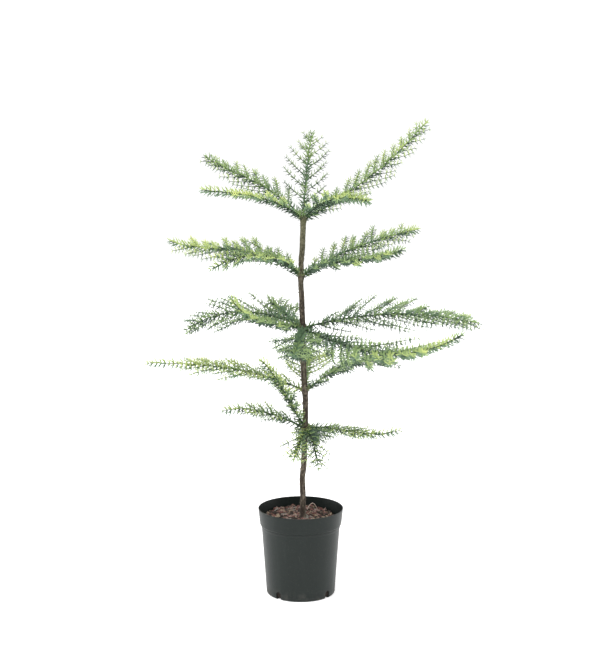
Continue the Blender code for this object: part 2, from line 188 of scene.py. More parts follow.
def mesh_of(shape, name):
    """The mesh of a shape put together face by face, which is then let go."""
    mesh = bpy.data.meshes.new(name)
    shape.to_mesh(mesh)
    shape.free()
    return mesh


def linked(name, data):
    """A new object in the scene."""
    made = bpy.data.objects.new(name, data)
    bpy.context.scene.collection.objects.link(made)
    return made


def add_piece(name, mesh, finish, slot, *nodes):
    """Puts a mesh in the scene as a piece that rides on the plant's one body and stands for the nodes."""
    piece = linked(name, mesh)
    mesh.name = name
    mesh.materials.clear()
    mesh.materials.append(finish.material)
    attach(piece, "root")
    if nodes:
        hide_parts(*nodes)


def evaluated_mesh(host):
    """The host's mesh with its modifiers, or its curve, worked out."""
    graph = bpy.context.evaluated_depsgraph_get()
    graph.update()
    return bpy.data.meshes.new_from_object(host.evaluated_get(graph), depsgraph=graph)


def arc(centre, radius, start, end, steps):
    """Points of a round corner in the half section, from one angle in degrees to another."""
    angles = [radians(start + (end - start) * step / steps) for step in range(steps + 1)]
    return [(centre[0] + radius * cos(angle), centre[1] + radius * sin(angle)) for angle in angles]


def pot_half_section():
    """Up the inside from the middle of the floor, over the rim and down the outside to the middle again."""
    inner_heel = (BASE_RADIUS - POT_WALL - HEEL_ROUND, POT_FLOOR + HEEL_ROUND)
    inside = [(0.0, POT_FLOOR)]
    inside += arc(inner_heel, HEEL_ROUND, -90, 0, 4)
    inside += [
        (SHOULDER_RADIUS - POT_WALL, LEDGE_FOOT),
        (LEDGE_RADIUS - POT_WALL, BAND_FOOT + POT_WALL),
        (BAND_RADIUS - POT_WALL, BAND_FOOT + POT_WALL * 2),
    ]
    inside += arc((RIM_RADIUS - POT_WALL + RIM_ROUND, POT_HEIGHT - RIM_ROUND), RIM_ROUND, 180, 90, 3)
    outside = arc((RIM_RADIUS - RIM_ROUND, POT_HEIGHT - RIM_ROUND), RIM_ROUND, 90, 0, 3)
    outside += [(RIM_RADIUS - LIP_DRAFT, POT_HEIGHT - LIP_DEPTH)]
    outside += arc((BAND_RADIUS - BAND_ROUND, BAND_FOOT + BAND_ROUND), BAND_ROUND, 0, -90, 6)
    outside += [
        (LEDGE_RADIUS + LEDGE_EDGE, BAND_FOOT),
        (LEDGE_RADIUS, BAND_FOOT - LEDGE_EDGE),
        (LEDGE_RADIUS - LEDGE_DRAFT, LEDGE_FOOT + LEDGE_EDGE),
        (SHOULDER_RADIUS + LEDGE_DRAFT, LEDGE_FOOT - SHOULDER_FILLET[0]),
        (SHOULDER_RADIUS, LEDGE_FOOT - SHOULDER_FILLET[1]),
    ]
    outside += arc((BASE_RADIUS - HEEL_ROUND, HEEL_ROUND), HEEL_ROUND, 0, -90, 6)
    outside += [(0.0, 0.0)]
    return inside + outside


def drain_cutter(angle):
    """A rounded block that opens the heel: part of the wall and the floor's edge behind it."""
    block = bmesh.new()
    bmesh.ops.create_cube(block, size=1.0)
    bmesh.ops.scale(block, vec=(DRAIN_REACH, DRAIN_WIDTH, DRAIN_HEIGHT * 2), verts=block.verts)
    upright = [edge for edge in block.edges
               if abs(edge.verts[0].co.x - edge.verts[1].co.x) > DRAIN_REACH / 2]
    bmesh.ops.bevel(block, geom=upright, offset=DRAIN_CORNER, segments=4, affect="EDGES")
    cutter = bpy.data.objects.new("drain_cutter", mesh_of(block, "drain_cutter"))
    cutter.rotation_euler.z = angle
    cutter.location = (BASE_RADIUS * cos(angle), BASE_RADIUS * sin(angle), 0.0)
    return cutter


section = bpy.data.meshes.new("pot_section")
corners = pot_half_section()
section.from_pydata([(x, 0.0, z) for x, z in corners], [(i, i + 1) for i in range(len(corners) - 1)], [])
lathe = linked("pot_lathe", section)
turn = lathe.modifiers.new("turn", "SCREW")
turn.steps = POT_SEGMENTS
turn.render_steps = POT_SEGMENTS
turn.use_merge_vertices = True
turn.merge_threshold = POT_WELD
cutters = bpy.data.collections.new("drain_cutters")
bpy.context.scene.collection.children.link(cutters)
for number in range(DRAIN_COUNT):
    cutters.objects.link(drain_cutter(radians(DRAIN_TURN + 45 + number * 360 / DRAIN_COUNT)))
drill = lathe.modifiers.new("drains", "BOOLEAN")
drill.operation = "DIFFERENCE"
drill.operand_type = "COLLECTION"
drill.collection = cutters
drill.solver = "EXACT"
pot_mesh = evaluated_mesh(lathe)
pot_mesh.shade_smooth()
pot_mesh.set_sharp_from_angle(angle=radians(POT_CREASE))
bpy.data.objects.remove(lathe)
for cutter in list(cutters.objects):
    bpy.data.objects.remove(cutter)
bpy.data.collections.remove(cutters)

plastic = Finish("moulded_plastic", Roughness=0.42, Specular_IOR_Level=0.22)
cloud = plastic.noise(16.0, 3.0)
flow = plastic.noise(9.0, 3.0, stretch=(6.0, 6.0, 0.5))
speck = plastic.noise(420.0, 1.0).ramp(0.62, 0.74)
low_dust = (1 - plastic.height().ramp(0.0, DUST_HEIGHT)) * plastic.noise(60.0, 4.0).ramp(0.42, 0.70)
rim_wear = plastic.height().ramp(POT_HEIGHT - WORN_HEIGHT, POT_HEIGHT) * cloud.ramp(0.40, 0.62)
tint = (flow.ramp(0.45, 0.75) * 0.35).between(cloud.between(*PLASTIC_COLOURS), FLOW_COLOUR)
tint = (low_dust * 0.35 + rim_wear * 0.30 + speck * 0.12).between(tint, DUST_COLOUR)
plastic.drive(Base_Color=tint, Roughness=0.36 + cloud * 0.12 + low_dust * 0.25)
plastic.bump(plastic.noise(1500.0, 1.0) + flow * 1.5, 0.00008)
add_piece("nursery_pot", pot_mesh, plastic, "pot_plastic", "pot")

# ---------------------------------------------------------------- potting mix
# The root ball fills the pot to 25 mm below the rim: dark peat heaped a little round the trunk, with a
# loose top of coarse pine-bark chips in several browns, coir fibres and one dead root arching out of it.

MIX_TOP = 0.1685               # peat between the chips
MIX_HEAP = 0.0045              # how much higher it lies at the trunk
HEAP_SHARPNESS = 1.5
MIX_BANK = 0.0065              # how far it is banked up against the wall at the back left
BANK_TURN = 0.4                # how far to the left of the back the bank is highest, as a slope
LUMPS = ((75.0, 0.0038), (260.0, 0.0012))      # waves in a metre and their height
MIX_RADIUS = 0.0880
MIX_EDGE = 0.0002              # the root ball is this much wider just below its top
FLOOR_GAP = 0.0002
WALL_GAP = 0.0003
LEDGE_GAP = 0.0004
MIX_RINGS = 22
MIX_SIDES = 72
TRUNK_FOOT_X = 0.0047          # the trunk stands this far right of the pot's axis
MIX_HOLE = 0.0015              # radius of the smallest ring, inside the trunk
PEAT_COLOURS = ((0.009, 0.007, 0.006), (0.036, 0.025, 0.020))
CHIP_KINDS = (
    # name, chips per square metre, length, colour
    ("rust_bark", 6000, 0.0110, (0.150, 0.072, 0.060)),
    ("rose_bark", 6500, 0.0098, (0.295, 0.200, 0.178)),
    ("tan_bark", 6000, 0.0102, (0.290, 0.218, 0.160)),
    ("umber_bark", 8500, 0.0118, (0.038, 0.027, 0.023)),
    ("grey_bark", 5000, 0.0094, (0.220, 0.195, 0.172)),
    ("pale_bark", 500, 0.0085, (0.600, 0.440, 0.410)),
)
CHIP_SIDES = (1.0, 0.55, 0.30)         # length, width and thickness of a flake
CHIP_ROUNDING = 0.28           # how far its corners are drawn in
CHIP_JAGGED = 0.11
CHIP_SHADES = (0.55, 1.30)     # darkest and lightest grain against the kind's colour
CHIP_TIP = 0.75                # radians a chip may lie tipped
SIZES_VARY = (0.55, 1.35)
BED_HOLE = 0.0095              # no loose bark nearer the trunk's axis,
BED_MARGIN = 0.0050            # or the edge of the mix
BED_LIFT = 0.0012
FIBRES_PER_SQUARE_METRE = 5200
FIBRE_LENGTH = 0.014
FIBRE_TIP = 0.5
FIBRE_LIFT = 0.0030
# the shape of a fibre one unit long
FIBRE_STEPS = 8
FIBRE_SWAY = 0.16
FIBRE_WAVE = 4.2
FIBRE_ARCH = 0.10
FIBRE_RADIUS = 0.020
FIBRE_TAPER = 0.6
FIBRE_CORNERS = (0.5, 2.6, 4.7)
FIBRE_COLOURS = ((0.16, 0.095, 0.055), (0.42, 0.30, 0.18))


def mix_height(x, y):
    """Top of the peat: a low heap round the trunk, lumpy at the size of a chip."""
    away = Vector((x - TRUNK_FOOT_X, y, 0.0)).length / MIX_RADIUS
    bank = min(1.0, max(0.0, (y - x * BANK_TURN) / MIX_RADIUS))
    lump = 0.0
    for layer, (waves, rise) in enumerate(LUMPS):
        lump += noise.noise(Vector((x, y, layer * 0.3)) * waves) * rise
    return MIX_TOP + MIX_HEAP * (1 - min(1.0, away)) ** HEAP_SHARPNESS + MIX_BANK * bank + lump


def lofted(rings, closed_ends=True):
    """Rings of points, each the same number, joined by quads; the first and last are capped."""
    shape = bmesh.new()
    levels = [[shape.verts.new(point) for point in ring] for ring in rings]
    for lower, upper in zip(levels, levels[1:]):
        for side in range(len(lower)):
            after = (side + 1) % len(lower)
            shape.faces.new((lower[side], lower[after], upper[after], upper[side]))
    if closed_ends:
        shape.faces.new(list(reversed(levels[0])))
        shape.faces.new(levels[-1])
    return shape


def mix_ring(radius, height_of):
    """One ring of the root ball; height_of gives its height at each x and y."""
    corners = [(radius * cos(2 * pi * side / MIX_SIDES), radius * sin(2 * pi * side / MIX_SIDES))
               for side in range(MIX_SIDES)]
    return [Vector((x, y, height_of(x, y))) for x, y in corners]


def mix_rings(inner, outer):
    """Rings over the top of the peat, from the wall in to the trunk."""
    radii = [outer + (inner - outer) * ring / MIX_RINGS for ring in range(MIX_RINGS + 1)]
    return [mix_ring(radius, mix_height) for radius in radii]


wall_outline = (
    (BASE_RADIUS - POT_WALL - HEEL_ROUND, POT_FLOOR + FLOOR_GAP),
    (BASE_RADIUS - POT_WALL - WALL_GAP, POT_FLOOR + HEEL_ROUND),
    (SHOULDER_RADIUS - POT_WALL - WALL_GAP, LEDGE_FOOT),
    (LEDGE_RADIUS - POT_WALL - LEDGE_GAP, BAND_FOOT + POT_WALL),
    (MIX_RADIUS + MIX_EDGE, BAND_FOOT + POT_WALL * 2),
)
wall_rings = [mix_ring(radius, lambda x, y: height) for radius, height in wall_outline]
peat_mesh = mesh_of(lofted(wall_rings + mix_rings(MIX_HOLE, MIX_RADIUS)), "peat")
peat_mesh.shade_smooth()

peat = Finish("peat", Roughness=0.95, Specular_IOR_Level=0.2)
crumb = peat.noise(420.0, 4.0, roughness=0.65)
peat.drive(Base_Color=crumb.ramp(0.35, 0.7).between(*PEAT_COLOURS))
peat.bump(crumb, 0.0012)
add_piece("root_ball", peat_mesh, peat, "potting_bark", "soil")


def chip_mesh(seed):
    """A broken flake of bark about one unit long: a flattened, jagged block."""
    draw = random.Random(seed)
    flake = bmesh.new()
    bmesh.ops.create_cube(flake, size=1.0)
    bmesh.ops.subdivide_edges(flake, edges=flake.edges, cuts=1, use_grid_fill=True)
    for point in flake.verts:
        point.co *= 1 - CHIP_ROUNDING + CHIP_ROUNDING / max(0.5, point.co.length)
        point.co += Vector([draw.uniform(-CHIP_JAGGED, CHIP_JAGGED) for _ in range(3)])
        point.co = Vector([place * side for place, side in zip(point.co, CHIP_SIDES)])
    return mesh_of(flake, "chip")


def fibre_mesh():
    """A limp coir fibre about one unit long, three-sided and curved."""
    rings = []
    for step in range(FIBRE_STEPS + 1):
        share = step / FIBRE_STEPS
        centre = Vector((share - 0.5, FIBRE_SWAY * sin(share * FIBRE_WAVE), FIBRE_ARCH * sin(share * pi)))
        thick = FIBRE_RADIUS * (1 - FIBRE_TAPER * share)
        rings.append([centre + Vector((0.0, cos(a), sin(a))) * thick for a in FIBRE_CORNERS])
    return mesh_of(lofted(rings), "fibre")


def growth_tree(name, inputs):
    """An empty Geometry Nodes tree with named inputs; gives the tree and a wire for each input."""
    tree = bpy.data.node_groups.new(name, "GeometryNodeTree")
    tree.interface.new_socket("Geometry", in_out="INPUT", socket_type="NodeSocketGeometry")
    for label, kind in inputs.items():
        tree.interface.new_socket(label, in_out="INPUT", socket_type="NodeSocket" + kind)
    tree.interface.new_socket("Geometry", in_out="OUTPUT", socket_type="NodeSocketGeometry")
    entry = tree.nodes.new("NodeGroupInput")
    return tree, {socket.name: Wire(tree, socket) for socket in entry.outputs if socket.name}


def close_tree(tree, geometry, finish):
    """Ends a tree: the instances become real faces and take their material."""
    real = geometry.node("GeometryNodeRealizeInstances", {0: geometry})
    done = real.node("GeometryNodeSetMaterial", {"Geometry": real, "Material": finish})
    tree.links.new(done.socket, tree.nodes.new("NodeGroupOutput").inputs[0])


def grown_mesh(data, tree, values):
    """The plain mesh that a tree makes of a host's data, with the tree's inputs set by identifier."""
    host = linked("host", data)
    growth = host.modifiers.new("growth", "NODES")
    growth.node_group = tree
    for socket in tree.interface.items_tree:
        if socket.item_type == "SOCKET" and socket.in_out == "INPUT" and socket.name in values:
            growth[socket.identifier] = values[socket.name]
    mesh = evaluated_mesh(host)
    host.modifiers.remove(growth)
    bpy.data.objects.remove(host)
    return mesh


def random_between(low, high, seed):
    """A value from low to high for each element, from a wire that holds the seed."""
    return seed.node("FunctionNodeRandomValue", {2: low, 3: high, "Seed": seed}, out=1)


def scatter_tree():
    """Spreads a small shape over a surface, each one turned, tipped and sized at random."""
    tree, given = growth_tree("scatter_on_mix", {
        "Shape": "Object", "Per Square Metre": "Float", "Size": "Float", "Tip": "Float",
        "Seed": "Int", "Finish": "Material"})
    wires, tip, size, seed = [given[label] for label in ("Geometry", "Tip", "Size", "Seed")]
    spread = wires.node("GeometryNodeDistributePointsOnFaces", {
        "Mesh": wires, "Density": given["Per Square Metre"], "Seed": seed})
    turned = wires.node("ShaderNodeCombineXYZ", {
        0: random_between(tip * -1.0, tip, seed + 2), 1: random_between(tip * -1.0, tip, seed + 3),
        2: random_between(-pi, pi, seed + 1)})
    shape = wires.node("GeometryNodeObjectInfo", {"Object": given["Shape"]}, out="Geometry")
    laid = wires.node("GeometryNodeInstanceOnPoints", {
        "Points": spread, "Instance": shape, "Rotation": turned,
        "Scale": random_between(size * SIZES_VARY[0], size * SIZES_VARY[1], seed + 4)})
    close_tree(tree, laid, given["Finish"])
    return tree


scatter = scatter_tree()
bed = mesh_of(lofted(mix_rings(BED_HOLE, MIX_RADIUS - BED_MARGIN), closed_ends=False), "chip_bed")
bed.transform(Matrix.Translation((0.0, 0.0, BED_LIFT)))


def scattered(small_mesh, density, length, tip, seed, finish):
    """Many of one small shape lying on the bed."""
    shape = linked("small_shape", small_mesh)
    mesh = grown_mesh(bed, scatter, {
        "Shape": shape, "Per Square Metre": float(density), "Size": length, "Tip": tip, "Seed": seed,
        "Finish": finish.material})
    bpy.data.objects.remove(shape)
    return mesh


for number, (name, density, length, colour) in enumerate(CHIP_KINDS):
    bark_chip = Finish(name, Roughness=0.88, Specular_IOR_Level=0.3)
    grain = bark_chip.noise(520.0, 3.0, roughness=0.6)
    dark, light = [tuple(min(1.0, channel * shade) for channel in colour) for shade in CHIP_SHADES]
    bark_chip.drive(Base_Color=grain.ramp(0.3, 0.7).between(dark, light))
    bark_chip.bump(grain, 0.0006)
    chips = scattered(chip_mesh(number + 11), density, length, CHIP_TIP, number + 40, bark_chip)
    add_piece("chips_" + name, chips, bark_chip, "potting_bark")

coir = Finish("coir", Roughness=0.8)
coir.drive(Base_Color=coir.noise(300.0).between(*FIBRE_COLOURS))
fibres = scattered(fibre_mesh(), FIBRES_PER_SQUARE_METRE, FIBRE_LENGTH, FIBRE_TIP, 71, coir)
fibres.transform(Matrix.Translation((0.0, 0.0, FIBRE_LIFT)))
add_piece("coir_fibres", fibres, coir, "potting_bark")


def limb_mesh(name, points, radii, sides, relief=None):
    """A closed limb along points, round but for its relief, which is also kept as an attribute."""
    rings = []
    heights = []
    up = Vector((0.0, 0.0, 1.0))
    first = (points[1] - points[0]).normalized()
    across = first.cross(up if abs(first.z) < 0.9 else Vector((0.0, 1.0, 0.0))).normalized()
    travelled = 0.0
    for number, (point, radius) in enumerate(zip(points, radii)):
        ahead = (points[min(number + 1, len(points) - 1)] - points[max(number - 1, 0)]).normalized()
        across = (across - ahead * across.dot(ahead)).normalized()
        over = ahead.cross(across)
        ring = []
        for side in range(sides):
            angle = 2 * pi * side / sides
            lift = relief(angle, travelled, radius) if relief else 0.0
            heights.append(lift)
            ring.append(point + (across * cos(angle) + over * sin(angle)) * (radius + lift))
        rings.append(ring)
        if number + 1 < len(points):
            travelled += (points[number + 1] - point).length
    mesh = mesh_of(lofted(rings), name)
    mesh.attributes.new("relief", "FLOAT", "POINT").data.foreach_set("value", heights)
    mesh.shade_smooth()
    return mesh


ROOT_FOOT = (0.0140, 0.050, 0.1740)    # where the dead root leaves the mix
ROOT_REACH = (0.025, 0.006)    # from there to where it goes back in
ROOT_RISE = 0.0185
ROOT_BLUNTNESS = 0.8           # of its arch: 1 is a half wave, less is squarer
ROOT_RADIUS = 0.0011
ROOT_STEPS = 24
ROOT_COLOURS = ((0.38, 0.27, 0.22), (0.66, 0.54, 0.47))

root_line = []
for step in range(ROOT_STEPS + 1):
    share = step / ROOT_STEPS
    root_line.append(Vector((ROOT_FOOT[0] + ROOT_REACH[0] * share, ROOT_FOOT[1] + ROOT_REACH[1] * share,
                             ROOT_FOOT[2] + ROOT_RISE * sin(pi * share) ** ROOT_BLUNTNESS)))
dead_root = Finish("dead_root", Roughness=0.75)
dead_root.drive(Base_Color=dead_root.noise(240.0, 3.0).between(*ROOT_COLOURS))
add_piece("arched_root", limb_mesh("arched_root", root_line, [ROOT_RADIUS] * len(root_line), 8),
          dead_root, "potting_bark")

# ---------------------------------------------------------------- trunk and boughs
# One slim crooked stem of rough grey-brown bark, pitted and knobbed where needles and side shoots have
# dropped, with a collar at each whorl. The boughs are the bare feet of the fronds: they swell out of the
# collars and turn from bark to green as they leave the trunk.

GROUND = 0.1703
TRUNK_SINKS = 0.006            # the stem goes on this far into the mix
TRUNK_TOP = 0.856
FLARE_RADIUS = 0.0088
FLARE_HEIGHT = 0.022
TRUNK_FOOT_RADIUS = 0.0065
TRUNK_TIP_RADIUS = 0.0061
COLLAR_SWELL = 0.0016
COLLAR_HALF_HEIGHT = 0.012
# how far the crooked trunk stands to the right of the pot's axis, at heights from soil to tip
TRUNK_BENDS = (
    (0.170, 0.0047), (0.225, 0.0050), (0.265, 0.0036), (0.300, 0.0072), (0.385, 0.0102),
    (0.440, 0.0108), (0.505, 0.0070), (0.560, 0.0046), (0.610, 0.0044), (0.668, 0.0026),
    (0.710, 0.0004), (0.750, 0.0008), (0.800, 0.0042), (0.856, 0.0060),
)
WHORLS = {"top": 0.850, "upper": 0.7235, "middle": 0.609, "lower": 0.467, "lowest": 0.382}
KNOBS = (
    # height, bearing from the right, size of the stubs of lost shoots
    (0.287, 5, 0.0026), (0.440, 10, 0.0022), (0.438, 175, 0.0020), (0.353, 20, 0.0016),
    (0.520, 150, 0.0018), (0.548, 340, 0.0018), (0.655, 200, 0.0016), (0.690, 15, 0.0016),
    (0.775, 260, 0.0014), (0.240, 235, 0.0018),
)
KNOB_RISE = 0.75
TRUNK_SIDES = 28
TIP_ROUNDING = ((-2, 0.75), (-1, 0.30))        # shares of their size kept by the last two rings
RELIEF_STEP = 0.0011
SCAR_SPACING = 0.0021          # along the stem, from one needle scar to the next
SCAR_HEIGHT = 0.00042
SCAR_HALF_LENGTH = 0.0022
SCAR_HALF_WIDTH = 0.0013
GOLDEN_ANGLE = 2.39996
FADED = 6.0                    # squared distance, in its own size, from which a scar or knob is gone
# of the cracks and of the coarse unevenness: waves round the stem and along it, shift along, depth
BARK_WAVES = ((3.2, 60.0, 0.0, 0.00038), (1.1, 24.0, 7.0, 0.00045))
# age of the trunk's bark: 1 up to a height, and less by the share for each span above it
OLD_TO, GREENING_SPAN, GREENING_SHARE = 0.45, 0.4, 0.45
FLECK_COLOURS = ((0.036, 0.028, 0.022), (0.280, 0.235, 0.180))
PATCH_COLOUR = (0.200, 0.180, 0.130)
LOW_RELIEF_COLOUR = (0.040, 0.028, 0.022)
OLIVE_COLOURS = ((0.090, 0.100, 0.050), (0.240, 0.245, 0.140))
GREEN_COLOURS = ((0.030, 0.065, 0.026), (0.075, 0.140, 0.050))


def trunk_centre(height):
    """Centre of the trunk at a height, on a smooth line through its bends."""
    below = [bend for bend in TRUNK_BENDS if bend[0] <= height] or [TRUNK_BENDS[0]]
    above = [bend for bend in TRUNK_BENDS if bend[0] > height] or [TRUNK_BENDS[-1]]
    (z0, x0), (z1, x1) = below[-1], above[0]
    if z1 <= z0:
        return Vector((x1, 0.0, height))
    share = min(1.0, max(0.0, (height - z0) / (z1 - z0)))
    smooth = share * share * (3 - 2 * share)
    return Vector((x0 + (x1 - x0) * smooth, 0.0, height))


def trunk_radius(height):
    """True taper, the root flare at the soil and a low collar at each whorl."""
    share = (height - GROUND) / (TRUNK_TOP - GROUND)
    radius = TRUNK_FOOT_RADIUS + (TRUNK_TIP_RADIUS - TRUNK_FOOT_RADIUS) * share
    flare = min(1.0, max(0.0, 1 - (height - GROUND) / FLARE_HEIGHT))
    radius += (FLARE_RADIUS - TRUNK_FOOT_RADIUS) * flare * flare
    for whorl in WHORLS.values():
        near = max(0.0, 1 - abs(height - whorl) / COLLAR_HALF_HEIGHT)
        radius += COLLAR_SWELL * near * near * (3 - 2 * near) * radius / TRUNK_FOOT_RADIUS
    return radius


def turned_past(angle, bearing):
    """The angle from a bearing round the stem, within half a turn either way."""
    return (angle - bearing + pi) % (2 * pi) - pi


def scar_relief(angle, travelled, radius):
    """Low scales in a spiral, each the foot of a lost needle, over lengthwise cracks."""
    lift = 0.0
    middle = round(travelled / SCAR_SPACING)
    for scar in range(middle - 3, middle + 4):
        over = (travelled - scar * SCAR_SPACING) / SCAR_HALF_LENGTH
        beside = turned_past(angle, scar * GOLDEN_ANGLE) * radius / SCAR_HALF_WIDTH
        away = over * over + beside * beside
        if away < FADED:
            lift += SCAR_HEIGHT * exp(-away)
    for waves_round, waves_along, shift, depth in BARK_WAVES:
        lift += depth * noise.noise(Vector((
            cos(angle) * waves_round, sin(angle) * waves_round, travelled * waves_along + shift)))
    return lift


def trunk_relief(angle, travelled, radius):
    """The bark's scars and cracks, and the stubs of lost shoots."""
    height = GROUND - TRUNK_SINKS + travelled
    lift = scar_relief(angle, travelled, radius)
    for knob_height, bearing, size in KNOBS:
        beside = turned_past(angle, radians(bearing)) * radius
        away = ((height - knob_height) ** 2 + beside ** 2) / (size * size)
        if away < FADED:
            lift += size * KNOB_RISE * exp(-away)
    return lift


def mark_age(mesh, ages):
    mesh.attributes.new("age", "FLOAT", "POINT").data.foreach_set("value", ages)


levels = round((TRUNK_TOP - GROUND + TRUNK_SINKS) / RELIEF_STEP)
heights = [GROUND - TRUNK_SINKS + RELIEF_STEP * level for level in range(levels + 1)]
trunk_line = [trunk_centre(height) for height in heights]
trunk_radii = [trunk_radius(height) for height in heights]
for place, kept in TIP_ROUNDING:
    trunk_radii[place] *= kept
trunk_mesh = limb_mesh("trunk", trunk_line, trunk_radii, TRUNK_SIDES, trunk_relief)
mark_age(trunk_mesh, [1.0 - GREENING_SHARE * max(0.0, vertex.co.z - OLD_TO) / GREENING_SPAN
                      for vertex in trunk_mesh.vertices])

bark = Finish("young_bark", Roughness=0.85, Specular_IOR_Level=0.3)
fleck = bark.noise(230.0, 5.0, stretch=(1.0, 1.0, 0.75), roughness=0.62)
patch = bark.noise(34.0, 3.0, stretch=(1.0, 1.0, 0.5))
raised = bark.attribute("relief").ramp(-0.0004, 0.0006)
brown = fleck.ramp(0.36, 0.66).between(*FLECK_COLOURS)
brown = (patch.ramp(0.48, 0.62) * 0.6).between(brown, PATCH_COLOUR)
# the bark takes this dark colour where its relief is low: between the needle scars and in the cracks
brown = raised.between(LOW_RELIEF_COLOUR, brown)
olive = fleck.ramp(0.3, 0.7).between(*OLIVE_COLOURS)
age = bark.attribute("age")
young = age.ramp(0.0, 0.45).between(fleck.between(*GREEN_COLOURS), olive)
bark.drive(Base_Color=age.ramp(0.42, 0.75).between(young, brown))
bark.bump(fleck, 0.0007)
add_piece("trunk_bark", trunk_mesh, bark, "bark", "trunk")

# ---------------------------------------------------------------- frond rule and boughs
# Each frond is a flat spray: one stem leaving the trunk at its whorl, side shoots in pairs along it that
# are longest a third of the way out, and a bare leading tip.

# name: its whorl, and where it points; bearing: direction of growth from above, 0 = right, 90 = back;
# rise: slope at foot, middle and tip; turn: how far it swings sideways on the way; reach: its longest
# side shoot; roll: tilt of its flat, which lowers the side that faces the front; tip: leading length
# without side shoots; light: from 0, old and shaded, to 3.4, fresh growth, at foot and tip.
Frond = namedtuple("Frond", "name whorl bearing length rise turn reach roll tip light")
FRONDS = [Frond(name, name.split("_")[0], *habit) for name, *habit in (
    ("top_left_back", 147, 0.295, (48, 5, 25), -4, 0.072, 16, 0.022, (1.0, 2.0)),
    ("top_left_front", 212, 0.265, (41, 1, 9), -5, 0.060, 0, 0.085, (1.8, 3.4)),
    ("top_back", 82, 0.225, (50, 55, 56), -12, 0.080, 0, 0.020, (0.6, 1.8)),
    ("top_right_back", 31, 0.385, (24, 31, 42), 10, 0.072, 18, 0.030, (1.2, 2.4)),
    ("top_right_front", 311, 0.220, (46, 5, -6), -5, 0.075, 0, 0.060, (1.3, 3.4)),
    ("upper_left_back", 147, 0.370, (35, -20, 12), 8, 0.085, 18, 0.065, (0.9, 3.2)),
    ("upper_left_front", 216, 0.255, (50, 0, -24), -12, 0.075, 15, 0.045, (1.5, 2.6)),
    ("upper_right_back", 36, 0.345, (28, 9, 6), 6, 0.076, 18, 0.050, (1.0, 2.0)),
    ("upper_right_front", 321, 0.285, (38, -14, 26), -5, 0.085, 10, 0.035, (0.6, 2.4)),
    ("middle_left", 184, 0.270, (30, 5, -35), 0, 0.108, 20, 0.027, (0.6, 1.0)),
    ("middle_left_back", 120, 0.160, (28, -6, 30), -4, 0.064, 15, 0.030, (0.8, 1.2)),
    ("middle_left_front", 221, 0.222, (17, -4, 56), 3, 0.060, 12, 0.060, (1.2, 2.6)),
    ("middle_right_front", 316, 0.460, (-10, -9, 34), 10, 0.118, 9, 0.110, (0.7, 3.0)),
    ("middle_right", 15, 0.420, (14, -1, -16), 8, 0.126, 14, 0.040, (0.6, 1.3)),
    ("middle_front", 265, 0.215, (-4, -9, -8), -5, 0.085, 0, 0.020, (0.6, 0.9)),
    ("lower_left", 171, 0.365, (24, 3, -2), 0, 0.078, 14, 0.110, (1.8, 3.0)),
    ("lower_right", 345, 0.235, (38, 40, -26), 3, 0.090, 10, 0.050, (0.9, 1.6)),
    ("lower_back", 88, 0.210, (40, 2, 6), 0, 0.090, 0, 0.030, (1.8, 2.8)),
    ("lowest_left", 169, 0.195, (23, 21, -16), 0, 0.052, 14, 0.070, (1.0, 2.8)),
    ("lowest_left_front", 220, 0.210, (54, 64, 43), 0, 0.050, 6, 0.070, (1.4, 3.0)),
    ("lowest_right", 348, 0.215, (13, -31, 22), 12, 0.050, 8, 0.070, (1.2, 2.9)),
    ("lowest_front", 252, 0.095, (-26, -41, -32), 0, 0.052, 0, 0.015, (2.0, 2.6)),
    ("lowest_right_front", 294, 0.108, (-12, -56, -70), 0, 0.055, 0, 0.015, (1.8, 2.4)),
    ("lowest_back", 80, 0.155, (-15, -25, -36), 5, 0.070, 0, 0.030, (1.2, 1.8)),
)]
AXIS_STEP = 0.005
BOUGH_LENGTH = 0.028           # bare foot of a frond, or a quarter of a short one
BOUGH_FOOT_RADIUS = 0.0027
BOUGH_TIP_RADIUS = 0.0018
BOUGH_FLARE = 0.0020           # how much it swells where it joins the trunk
FLARE_REACH = 0.0035           # out from the trunk's surface, over which that swelling fades
BOUGH_OVERLAP = 0.002          # how far it goes on inside the stem
BOUGH_GREENING = 1.6           # age that a bough's bark loses along it, until it reaches 0
BOUGH_SIDES = 14
PAIR_SPACING = {"top": 0.030, "upper": 0.029, "middle": 0.024, "lower": 0.024, "lowest": 0.021}
STAGGER = 0.35                 # one shoot of a pair sits this much of a spacing behind the other
SHOOT_ANGLE = 50               # between side shoot and stem, at its foot
SHOOT_SWING = 5                # how far that angle varies
SHOOT_CURL = 14                # how far a side shoot bends forward along its length
SHOOT_TILT = 11
LENGTH_VARIES = 0.14
SHORTEST_SHOOT = 0.012
# shares of the frond's length, and of its longest side shoot: they swell and then taper
SWELL_FROM, SWELL_RATE, FIRST_SHOOT = 0.12, 1.5, 0.62
TAPER_FROM, TAPER_SPAN, TAPER_LOSS = 0.35, 0.60, 0.62
SHOOT_GAP = 0.007              # between side shoots of different fronds
TRUNK_GAP = 0.007              # between side shoots and the trunk
FREE_FROM = 6                  # the first sixth of a frond, at the trunk, isn't kept clear of others
CROWD_REACH = 1.3              # shoots look this far for others, against the frond's longest

growth = random.Random(7)


def frond_axis(frond):
    """Points along a frond's centre line, every AXIS_STEP from the middle of the trunk."""
    count = round(frond.length / AXIS_STEP)
    foot, middle, tip = frond.rise
    points = [trunk_centre(WHORLS[frond.whorl])]
    for step in range(count):
        share = (step + 0.5) / count
        slope = (1 - share) ** 2 * foot + 2 * share * (1 - share) * middle + share ** 2 * tip
        rise = radians(slope)
        bearing = radians(frond.bearing + frond.turn * (share - 0.5))
        ahead = Vector((cos(rise) * cos(bearing), cos(rise) * sin(bearing), sin(rise)))
        points.append(points[-1] + ahead * frond.length / count)
    return points


